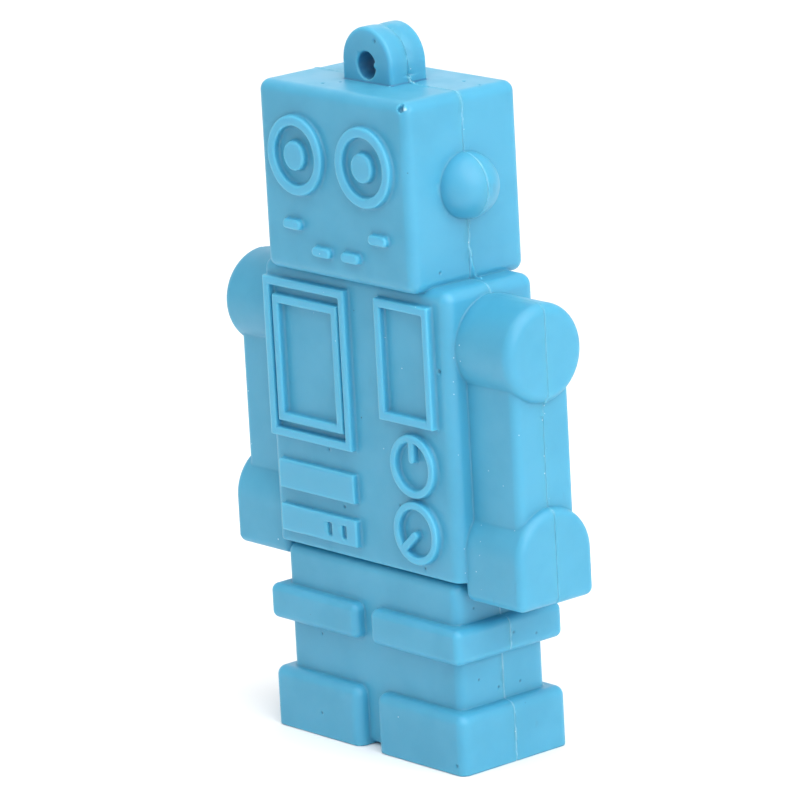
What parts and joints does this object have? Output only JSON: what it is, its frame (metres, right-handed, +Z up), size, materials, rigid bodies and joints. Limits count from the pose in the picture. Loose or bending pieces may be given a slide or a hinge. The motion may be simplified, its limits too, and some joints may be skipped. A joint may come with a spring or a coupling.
{
  "type": "usb flash drive",
  "caption": "Soft moulded toy-robot figure with a keyring loop on its head; the legs pull off as a cap and uncover the USB plug in the waist.",
  "frame": {"origin": "middle of the feet's flat underside, in the plane of the parting line", "axes": "+Z up through the head, -Y out of the face, +X out of the robot's left arm (the side with the two dials)"},
  "size_m": [0.0392, 0.014, 0.066],
  "materials": {
    "soft_body": "satin light-blue silicone",
    "case_plastic": "moulded off-white",
    "board": "green solder mask",
    "chip_epoxy": "black epoxy",
    "tinned_leads": "tin plated",
    "crystal_can": "drawn metal can",
    "capacitor_ceramic": "fired ceramic",
    "resistor_ceramic": "glazed ceramic",
    "led_lens": "diffuse epoxy",
    "shell_steel": "nickel-plated sheet",
    "plug_plastic": "moulded white",
    "gold_contacts": "gold flash",
    "solder": "reflowed"
  },
  "bodies": {
    "legs_cap": {"legs_front": "soft_body", "legs_back": "soft_body"},
    "figure": {"figure_front": "soft_body", "figure_back": "soft_body", "drive_case_front": "case_plastic", "drive_case_back": "case_plastic", "circuit_board": "board", "flash_chip": "chip_epoxy", "flash_chip_leads": "tinned_leads", "controller_chip": "chip_epoxy", "controller_leads": "tinned_leads", "crystal": "crystal_can", "voltage_regulator": "chip_epoxy", "capacitors": "capacitor_ceramic", "resistors": "resistor_ceramic", "activity_led": "led_lens", "usb_shell": "shell_steel", "usb_tongue": "plug_plastic", "usb_rear_block": "plug_plastic", "usb_contacts": "gold_contacts", "solder_joints": "solder"}
  },
  "joints": [
    {"name": "cap_pull", "type": "slide", "parent": "legs_cap", "child": "figure", "axis": [0, 0, 1], "range_m": [0, 0.02]}
  ]
}
